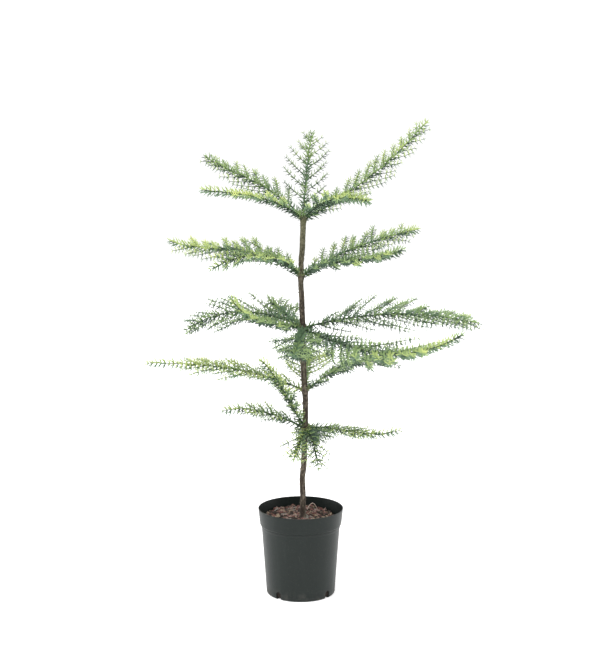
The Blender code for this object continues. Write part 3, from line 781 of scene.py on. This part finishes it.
def along(points, distance):
    """Point and direction at a distance along evenly spaced points."""
    place = min(max(distance / AXIS_STEP, 0.0), len(points) - 1.001)
    start = int(place)
    ahead = (points[start + 1] - points[start]).normalized()
    return points[start].lerp(points[start + 1], place - start), ahead


def flat_of(frond, ahead):
    """Unit vectors across and out of a frond's flat, where it grows in the direction ahead."""
    across = ahead.cross(Vector((0, 0, 1))).normalized()
    roll = radians(frond.roll) * (-1 if across.y > 0 else 1)
    across = Matrix.Rotation(roll, 3, ahead) @ across
    return across, across.cross(ahead).normalized()


def bare_length(frond):
    return min(BOUGH_LENGTH, frond.length / 4)


def shoot_length(frond, distance):
    """Side shoots are longest a third of the way out and shorten evenly to the tip."""
    share = distance / frond.length
    swelling = min(1.0, FIRST_SHOOT + SWELL_RATE * max(0.0, share - SWELL_FROM))
    tapering = 1 - TAPER_LOSS * max(0.0, (share - TAPER_FROM) / TAPER_SPAN)
    return frond.reach * swelling * tapering


def side_shoots(frond, axis):
    """Centre lines of the side shoots, in pairs from the tip back to the bare foot."""
    shoots = []
    spacing = PAIR_SPACING[frond.whorl]
    distance = frond.length - frond.tip
    while distance > bare_length(frond) + AXIS_STEP:
        for side in (-1, 1):
            place = distance - (STAGGER * spacing if side > 0 else 0.0)
            if place < bare_length(frond):
                continue
            foot, ahead = along(axis, place)
            across, up = flat_of(frond, ahead)
            length = shoot_length(frond, place) * (1 + growth.uniform(-LENGTH_VARIES, LENGTH_VARIES))
            tilt = radians(growth.uniform(-SHOOT_TILT, SHOOT_TILT))
            outward = side * across * cos(tilt) + up * sin(tilt)
            swing = growth.uniform(-SHOOT_SWING, SHOOT_SWING)
            line = [foot]
            count = max(4, round(length / AXIS_STEP))
            for step in range(count):
                angle = radians(SHOOT_ANGLE + swing - SHOOT_CURL * (step + 0.5) / count)
                line.append(line[-1] + (ahead * cos(angle) + outward * sin(angle)) * length / count)
            shoots.append(line)
        distance -= spacing
    return shoots


def room_for(line, crowd):
    """How many of a line's points keep clear of the other fronds and of the trunk."""
    for count, point in enumerate(line):
        centre = trunk_centre(min(max(point.z, GROUND), TRUNK_TOP))
        if (point - centre).length < TRUNK_FOOT_RADIUS + TRUNK_GAP:
            return count
        if any((point - other).length_squared < SHOOT_GAP * SHOOT_GAP for other in crowd):
            return count
    return len(line)


axes = [frond_axis(frond) for frond in FRONDS]
kept_points = [axis[len(axis) // FREE_FROM:] for axis in axes]
shoots_of = [[] for _ in FRONDS]
for number, frond in enumerate(FRONDS):
    for line in side_shoots(frond, axes[number]):
        crowd = [point for other, points in enumerate(kept_points) if other != number for point in points
                 if (point - line[0]).length < frond.reach * CROWD_REACH]
        room = room_for(line, crowd)
        if room * AXIS_STEP < SHORTEST_SHOOT:
            continue
        shoots_of[number].append(line[:room])
        kept_points[number] += line[:room]


def bough_mesh(frond, axis):
    """The frond's bare foot, from inside the trunk to where its mass begins."""
    end = bare_length(frond) + BOUGH_OVERLAP
    count = round(end / RELIEF_STEP)
    distances = [end * step / count for step in range(count + 1)]
    surface = trunk_radius(WHORLS[frond.whorl])
    radii = []
    ages = []
    for distance in distances:
        taper = BOUGH_FOOT_RADIUS + (BOUGH_TIP_RADIUS - BOUGH_FOOT_RADIUS) * distance / end
        radii.append(taper + BOUGH_FLARE * exp(-max(0.0, distance - surface) / FLARE_REACH))
        ages += [max(0.0, 1.0 - BOUGH_GREENING * distance / end)] * BOUGH_SIDES
    mesh = limb_mesh("bough", [along(axis, distance)[0] for distance in distances], radii,
                     BOUGH_SIDES, scar_relief)
    mark_age(mesh, ages)
    return mesh


def joined(meshes):
    """One mesh of several, which are then deleted."""
    whole = bmesh.new()
    for part in meshes:
        whole.from_mesh(part)
        bpy.data.meshes.remove(part)
    return mesh_of(whole, "joined")


boughs_mesh = joined([bough_mesh(frond, axis) for frond, axis in zip(FRONDS, axes)])
boughs_mesh.shade_smooth()
add_piece("boughs_bark", boughs_mesh, bark, "bark", *["bough_" + frond.name for frond in FRONDS])

# ---------------------------------------------------------------- stems and side shoots
# The frond stems go on from the boughs' tips, and the side shoots leave them: slim green wood that is
# browner on the stems, tapering to a blunt bud at each end.

STEM_RADII = (0.0019, 0.0009)
STEM_COLOUR = (0.034, 0.052, 0.026)
STEM_SINKS = 0.001             # how far the stem starts inside the bough's tip
SHOOT_RADII = (0.0011, 0.0006)
SHOOT_COLOUR = (0.040, 0.078, 0.032)


def line_curve(lines, radii_of):
    """One curve of straight-stepped splines; radii_of gives each line's thickness at its points."""
    curve = bpy.data.curves.new("lines", "CURVE")
    curve.dimensions = "3D"
    for line in lines:
        spline = curve.splines.new("POLY")
        spline.points.add(len(line) - 1)
        for knot, point, radius in zip(spline.points, line, radii_of(line)):
            knot.co = (*point, 1.0)
            knot.radius = radius
    return curve


def twig_tree():
    """A six-sided twig along every line, as thick as the line's radius."""
    tree, given = growth_tree("twigs_on_lines", {"Sides": "Int", "Finish": "Material"})
    wires = given["Geometry"]
    ring = wires.node("GeometryNodeCurvePrimitiveCircle", {"Resolution": given["Sides"], "Radius": 1.0})
    thickness = wires.node("GeometryNodeInputRadius")
    tube = wires.node("GeometryNodeCurveToMesh", {
        "Curve": wires, "Profile Curve": ring, "Scale": thickness, "Fill Caps": True})
    close_tree(tree, tube, given["Finish"])
    return tree


def tapering(foot, tip):
    """Gives the thickness at each point of a line that tapers evenly."""
    return lambda line: [foot + (tip - foot) * step / (len(line) - 1) for step in range(len(line))]


def stem_line(frond, axis):
    """The stem from inside the bough's tip to the frond's tip."""
    start = bare_length(frond) - STEM_SINKS
    count = max(4, round((frond.length - start) / AXIS_STEP))
    return [along(axis, start + (frond.length - start) * step / count)[0] for step in range(count + 1)]


def add_twigs(name, lines, radii, sides, wood_name, colour, smoothest):
    """Twigs along lines as one piece, of finely grained green wood."""
    wood = Finish(wood_name, Base_Color=(*colour, 1.0), Roughness=smoothest + 0.1)
    wood.drive(Roughness=smoothest + wood.noise(300.0) * 0.3)
    wood.bump(wood.noise(900.0), 0.0002)
    mesh = grown_mesh(line_curve(lines, tapering(*radii)), twigs, {"Sides": sides, "Finish": wood.material})
    add_piece(name, mesh, wood, "needles", *foliage_nodes)


twigs = twig_tree()
foliage_nodes = ["foliage_" + frond.name for frond in FRONDS]
stem_lines = [stem_line(frond, axis) for frond, axis in zip(FRONDS, axes)]
shoot_lines = [line for lines in shoots_of for line in lines]
add_twigs("frond_stems", stem_lines, STEM_RADII, 8, "stem_wood", STEM_COLOUR, 0.50)
add_twigs("side_shoots", shoot_lines, SHOOT_RADII, 6, "shoot_wood", SHOOT_COLOUR, 0.45)

# ---------------------------------------------------------------- needles
# Every stem and shoot is set round with awl-shaped needles, stiff, four-sided and curved in towards the
# tip. Old ones near the trunk are dark blue-green, and new growth is yellow-green. The greens also hold
# painted shade: fronds lying in shade are dealt darker greens, and needles pointing up take a lighter
# green than those pointing down, as painted light and shade.

NEEDLE_LENGTH = 0.0145
# distance from one ring of needles to the next, needles in a ring, and degrees between needle and stem
STEM_RINGS = (0.0071, 6, 66)
SHOOT_RINGS = (0.0080, 5, 80)
RING_TURN = 0.12               # radians between one ring and the next
# size of the needles, first at a twig's foot and then in full
STEM_SIZES = (0.80, 1.12)
COLLAR_SIZES = (0.85, 1.0)
SHOOT_SIZES = {"top": (0.55, 0.78), "upper": (0.55, 0.78), "middle": (0.60, 0.84),
               "lower": (0.60, 0.84), "lowest": (0.60, 0.84)}
GROWS_OVER = 0.024             # distance from a twig's foot that adds one whole size
TIP_SIZE = 0.72                # share of their size at a growing tip, with
TIP_SPAN = 0.020               # one whole size more for each such distance from it
NEEDLE_CURL = 20               # how far a needle bends forward along its length
NEEDLE_VARIES = 0.10
STEM_NEEDLE_STOUTNESS = 1.25   # those on the stems are this much broader than those on side shoots
# share of the length, half width and half depth in metres
NEEDLE_SECTIONS = ((0.0, 0.00092, 0.00075), (0.45, 0.00112, 0.00078), (0.80, 0.00088, 0.00058))
RING_WOBBLE = 0.14             # radians a ring may be turned out of place,
RING_SLIDE = 0.08              # and how far moved, as a share of the spacing
LEAN_SHARES = (0.65, 0.35)     # of the lean: what the smallest needle has, and what size adds
SKYWARD = 0.1                  # how steeply a needle points up to count as one of the lit side, which is painted a lighter green
SKYWARD_BLUR = 0.60
PAINTED_LIT_AND_SHADED = (1, -1)     # painted light and shade: needles pointing up take the next lighter green and those pointing down the next darker one
CROWDED_STEPS = 5              # points of a stem near the trunk where needles stand twice as close
SPRAY_STEPS = 4                # points of a line that take one colour together
# in tones: how a stem's foot and rise differ from its frond's light, a side shoot's rise for each tone
# of its frond's tip, the place along a line that has its light, and how much a spray strays
STEM_FOOT_TONE, STEM_RISE_TONE, SHOOT_RISE_TONE = -0.4, 0.3, 0.25
TONE_PLACE = 0.35
TONE_STRAYS = 0.5
GREENS = (
    ("deep", (0.054, 0.098, 0.060)),
    ("sea", (0.146, 0.238, 0.134)),
    ("leaf", (0.290, 0.408, 0.170)),
    ("fresh", (0.460, 0.565, 0.205)),
    ("lime", (0.610, 0.685, 0.235)),
)


def needle_mesh(stoutness):
    """One needle along +Z from the shoot's centre, curving towards -X, four-sided and closed."""
    rings = []
    centre = Vector((0.0, 0.0, 0.0))
    last = 0.0
    for share, wide, deep in (*NEEDLE_SECTIONS, (1.0, 0.0, 0.0)):
        bend = radians(NEEDLE_CURL * (share + last) / 2)
        centre = centre + Vector((-sin(bend), 0.0, cos(bend))) * (share - last) * NEEDLE_LENGTH
        last = share
        lean = radians(NEEDLE_CURL * share)
        side = Vector((cos(lean), 0.0, sin(lean)))
        wide *= stoutness
        rings.append([centre + side * deep, centre + Vector((0, wide, 0)),
                      centre - side * deep, centre - Vector((0, wide, 0))])
    shape = bmesh.new()
    levels = [[shape.verts.new(point) for point in ring] for ring in rings[:-1]]
    point = shape.verts.new(rings[-1][0])
    for lower, upper in zip(levels, levels[1:]):
        for side in range(4):
            after = (side + 1) % 4
            shape.faces.new((lower[side], lower[after], upper[after], upper[side]))
    for side in range(4):
        shape.faces.new((levels[-1][side], levels[-1][(side + 1) % 4], point))
    shape.faces.new(list(reversed(levels[0])))
    return mesh_of(shape, "needle")


def needle_tree():
    """Rings of needles along every line, each turned on the last, as large as the line's radius says."""
    tree, given = growth_tree("needles_on_lines", {
        "Needle": "Object", "Spacing": "Float", "Round": "Int", "Lean": "Float", "Varies": "Float",
        "Side": "Float", "Seed": "Int", "Finish": "Material"})
    wires, spacing, varies, side = [given[label] for label in ("Geometry", "Spacing", "Varies", "Side")]
    points = wires.node("GeometryNodeCurveToPoints", {"Curve": wires, "Length": spacing}, mode="LENGTH")
    facing = Wire(tree, points.socket.node.outputs["Rotation"])
    ahead = Wire(tree, points.socket.node.outputs["Tangent"])
    size = wires.node("GeometryNodeInputRadius")
    wobble = random_between(-1.0, 1.0, given["Seed"])
    other = random_between(-1.0, 1.0, given["Seed"] + 5)

    rings = wires.node("GeometryNodeDuplicateElements", {
        "Geometry": points, "Amount": given["Round"]}, domain="POINT")
    place = Wire(tree, rings.socket.node.outputs["Duplicate Index"])
    ring = wires.math("FLOOR", wires.node("GeometryNodeInputIndex") / given["Round"], 0.0)
    turn = place * (2 * pi) / given["Round"] + ring * RING_TURN + wobble * RING_WOBBLE
    slid = wires.node("ShaderNodeVectorMath", {
        0: ahead, "Scale": wobble * spacing * RING_SLIDE}, operation="SCALE")
    rings = wires.node("GeometryNodeSetPosition", {"Geometry": rings, "Offset": slid})

    tip_out = given["Lean"] * (LEAN_SHARES[0] + size * LEAN_SHARES[1]) + other * varies
    turned = facing
    for axis, angle in (((0, 0, 1), turn), ((0, 1, 0), tip_out)):
        step = wires.node("FunctionNodeAxisAngleToRotation", {"Axis": axis, "Angle": angle})
        turned = wires.node("FunctionNodeRotateRotation", {0: turned, 1: step}, rotation_space="LOCAL")
    pointing = wires.node("FunctionNodeRotateVector", {"Vector": (0, 0, 1), "Rotation": turned})
    # painted light: needles that point up make the lit side, given a lighter green, and those that point
    # down the shaded side, given a darker one
    height = wires.node("ShaderNodeSeparateXYZ", {0: pointing}, out=2) - SKYWARD
    chosen = wires.math("GREATER_THAN", (height + other * SKYWARD_BLUR) * side + (1 - side * side), 0.0)
    shape = wires.node("GeometryNodeObjectInfo", {"Object": given["Needle"]}, out="Geometry")
    set_round = wires.node("GeometryNodeInstanceOnPoints", {
        "Points": rings, "Selection": chosen, "Instance": shape, "Rotation": turned,
        "Scale": size * (1 + wobble * varies)})
    close_tree(tree, set_round, given["Finish"])
    return tree


def needle_sizes(line, foot_size, full_size):
    """Size of the needles at each point: short at the foot, and shorter again round the growing tip."""
    sizes = []
    for step in range(len(line)):
        from_foot = step * AXIS_STEP
        from_tip = (len(line) - 1 - step) * AXIS_STEP
        size = min(full_size, foot_size + from_foot / GROWS_OVER)
        sizes.append(size * min(1.0, TIP_SIZE + from_tip / TIP_SPAN))
    return sizes


def nearest_green(tone):
    """Which of the greens a tone is, counted from the darkest."""
    return min(len(GREENS) - 1, max(0, round(tone)))


def deal_sprays(rings, line, sizes, light, rise):
    """Cuts a line into sprays and gives each a tone, lighter towards the tip."""
    count = max(1, round((len(line) - 1) / SPRAY_STEPS))
    cuts = [round((len(line) - 1) * cut / count) for cut in range(count + 1)]
    for number, (start, end) in enumerate(zip(cuts, cuts[1:])):
        share = (number + 0.5) / count
        tone = light + rise * (share - TONE_PLACE) + growth.uniform(-TONE_STRAYS, TONE_STRAYS)
        sprays[rings][nearest_green(tone)].append((line[start:end + 1], sizes[start:end + 1]))


sprays = {rings: [[] for _ in GREENS] for rings in (STEM_RINGS, SHOOT_RINGS)}
for frond, axis, lines in zip(FRONDS, axes, shoots_of):
    foot_light, tip_light = frond.light
    stem = axis[1:]
    deal_sprays(STEM_RINGS, stem, needle_sizes(stem, *STEM_SIZES), foot_light + STEM_FOOT_TONE,
                tip_light - foot_light + STEM_RISE_TONE)
    collar = axis[1:CROWDED_STEPS]
    deal_sprays(STEM_RINGS, collar, needle_sizes(collar, *COLLAR_SIZES), foot_light, 0.0)
    for line in lines:
        out = (line[0] - axis[0]).length / frond.length
        deal_sprays(SHOOT_RINGS, line, needle_sizes(line, *SHOOT_SIZES[frond.whorl]),
                    foot_light + (tip_light - foot_light) * out * out, SHOOT_RISE_TONE * tip_light)

needles_on_lines = needle_tree()
needle_of = {rings: linked("needle", needle_mesh(stoutness))
             for rings, stoutness in ((STEM_RINGS, STEM_NEEDLE_STOUTNESS), (SHOOT_RINGS, 1.0))}


def needles_along(bundles, needle, spacing, count, lean, varies, side, seed, finish):
    """Needles of one side along bundles of (line, sizes): 1 for those pointing up, -1 for those pointing
    down, which take the painted lit and shaded greens, and 0 for both.
    """
    sizes_of = {id(line): sizes for line, sizes in bundles}
    curve = line_curve([line for line, sizes in bundles], lambda line: sizes_of[id(line)])
    return grown_mesh(curve, needles_on_lines, {
        "Needle": needle, "Spacing": spacing, "Round": count, "Lean": radians(lean), "Varies": varies,
        "Side": side, "Seed": seed, "Finish": finish.material})


for number, (name, colour) in enumerate(GREENS):
    wax = Finish("needle_" + name, Base_Color=(*colour, 1.0), Roughness=0.5, Specular_IOR_Level=0.4)
    wax.drive(Roughness=0.42 + wax.noise(500.0) * 0.25)
    sets = []
    # painted light and shade: each green takes the needles pointing up from sprays dealt one tone darker,
    # and those pointing down from sprays dealt one tone lighter
    for side in PAINTED_LIT_AND_SHADED:
        tones = [tone for tone in range(len(GREENS)) if nearest_green(tone + side) == number]
        for rings, dealt in sprays.items():
            for tone in tones:
                sets.append(needles_along(dealt[tone], needle_of[rings], *rings, NEEDLE_VARIES, side,
                                          20 + tone, wax))
    add_piece("needles_" + name, joined(sets), wax, "needles", *foliage_nodes)

# ---------------------------------------------------------------- dry needles
# Brown needles still cling to the trunk under the middle whorl, and short stubs of shed ones roughen the
# rest of the stem.

# spacing, needles in a ring, degrees from the stem, and how much their size and lean vary
DRY_RINGS = (0.0105, 1, 70, 0.35)
STUB_RINGS = (0.0026, 1, 66, 0.30)
DRY_FOOT = 0.440
DRY_TOP = 0.590
DRY_SIZE = 0.95
DRY_SIZE_VARIES = 0.25
DRY_WAVES = 90                 # waves of that size in a metre
STUB_SIZE = 0.62
STUB_MARGIN = 0.02             # at the foot and the tip of the trunk
DRY_COLOURS = ((0.115, 0.060, 0.032), (0.300, 0.185, 0.110))
STUB_COLOURS = ((0.055, 0.040, 0.030), (0.200, 0.160, 0.120))


def dry_size(height):
    return DRY_SIZE + DRY_SIZE_VARIES * noise.noise(Vector((0, 0, height * DRY_WAVES)))


def add_trunk_needles(name, low, high, size_of, rings, seed, finish):
    """Needles round the trunk between two heights, with the size that each height gives."""
    count = round((high - low) / AXIS_STEP)
    heights = [low + (high - low) * step / count for step in range(count + 1)]
    bundle = [trunk_centre(height) for height in heights], [size_of(height) for height in heights]
    mesh = needles_along([bundle], needle_of[SHOOT_RINGS], *rings, 0.0, seed, finish)
    add_piece(name, mesh, finish, "needles", *foliage_nodes)


straw = Finish("dry_needle", Roughness=0.8)
straw.drive(Base_Color=straw.noise(240.0).between(*DRY_COLOURS))
add_trunk_needles("dry_needles", DRY_FOOT, DRY_TOP, dry_size, DRY_RINGS, 61, straw)
stub_wood = Finish("needle_stub", Roughness=0.85)
stub_wood.drive(Base_Color=stub_wood.noise(300.0).between(*STUB_COLOURS))
add_trunk_needles("needle_stubs", GROUND + STUB_MARGIN, TRUNK_TOP - STUB_MARGIN, lambda height: STUB_SIZE,
                  STUB_RINGS, 67, stub_wood)
for needle in needle_of.values():
    bpy.data.objects.remove(needle)

# ---------------------------------------------------------------- studio
# A plain white floor under even soft light, brighter from above and in front, seen from a little above
# the top of the plant.

FLOOR_RADIUS = 6.0
FLOOR_GLOW = 0.35
PAPER_COLOURS = ((0.87, 0.87, 0.87), (0.90, 0.90, 0.90))
WHITE = (1.0, 1.0, 1.0, 1.0)
CAMERA_PLACE = (0.0029, -3.5, 1.2)
CAMERA_DIP = 9.74              # degrees below level
FRAME_LONG_SIDE = 665
FOCAL_PIXELS = 1600
SENSOR_WIDTH = 36.0
BACKDROP = 1.10                # brightness of the room as the camera sees it,
BACK_WALL = 0.85               # of the white wall behind the plant, as it lights the plant,
FRONT_ROOM = 0.22              # and of the room on the camera's side
WALL_BLEND = 0.7
LAMPS = (
    # name, bearing, height and strength; bearing 0 is from the right, 270 from the front
    ("ceiling_light", 250, 60, 3.0),
    ("left_light", 172, 25, 1.2),
    ("right_light", 8, 25, 1.2),
)
LAMP_SPREAD = 60               # degrees across a lamp's wide patch of ceiling or wall
LAMP_DISTANCE = 3.0

floor_shape = bmesh.new()
bmesh.ops.create_circle(floor_shape, cap_ends=True, segments=96, radius=FLOOR_RADIUS)
floor = linked("floor", mesh_of(floor_shape, "floor"))
paper = Finish("white_paper", Roughness=0.9, Specular_IOR_Level=0.0, Emission_Color=WHITE,
               Emission_Strength=FLOOR_GLOW)
paper.drive(Base_Color=paper.noise(3.0).between(*PAPER_COLOURS))
floor.data.materials.append(paper.material)

world = bpy.data.worlds.new("studio")
bpy.context.scene.world = world
world.use_nodes = True
sky = Wire(world.node_tree)
background = world.node_tree.nodes["Background"]
seen = sky.node("ShaderNodeLightPath", out="Is Camera Ray")
towards = sky.node("ShaderNodeTexCoord", out="Generated")
behind = sky.node("ShaderNodeSeparateXYZ", {0: towards}, out="Y").ramp(-WALL_BLEND, WALL_BLEND)
glow = behind * (BACK_WALL - FRONT_ROOM) + FRONT_ROOM
strength = seen * BACKDROP + (1 - seen) * glow
world.node_tree.links.new(strength.socket, background.inputs["Strength"])
background.inputs["Color"].default_value = WHITE

for name, bearing, height, strength in LAMPS:
    lamp = bpy.data.lights.new(name, "SUN")
    lamp.energy = strength
    lamp.angle = radians(LAMP_SPREAD)
    light = linked(name, lamp)
    towards = Vector((cos(radians(bearing)) * cos(radians(height)),
                      sin(radians(bearing)) * cos(radians(height)), sin(radians(height))))
    light.rotation_euler = towards.to_track_quat("Z", "Y").to_euler()
    light.location = towards * LAMP_DISTANCE

lens = bpy.data.cameras.new("camera")
lens.sensor_width = SENSOR_WIDTH
lens.lens = FOCAL_PIXELS / FRAME_LONG_SIDE * SENSOR_WIDTH
camera = linked("camera", lens)
camera.location = CAMERA_PLACE
camera.rotation_euler = (radians(90 - CAMERA_DIP), 0.0, 0.0)
bpy.context.scene.camera = camera
bpy.context.scene.view_settings.view_transform = "Standard"
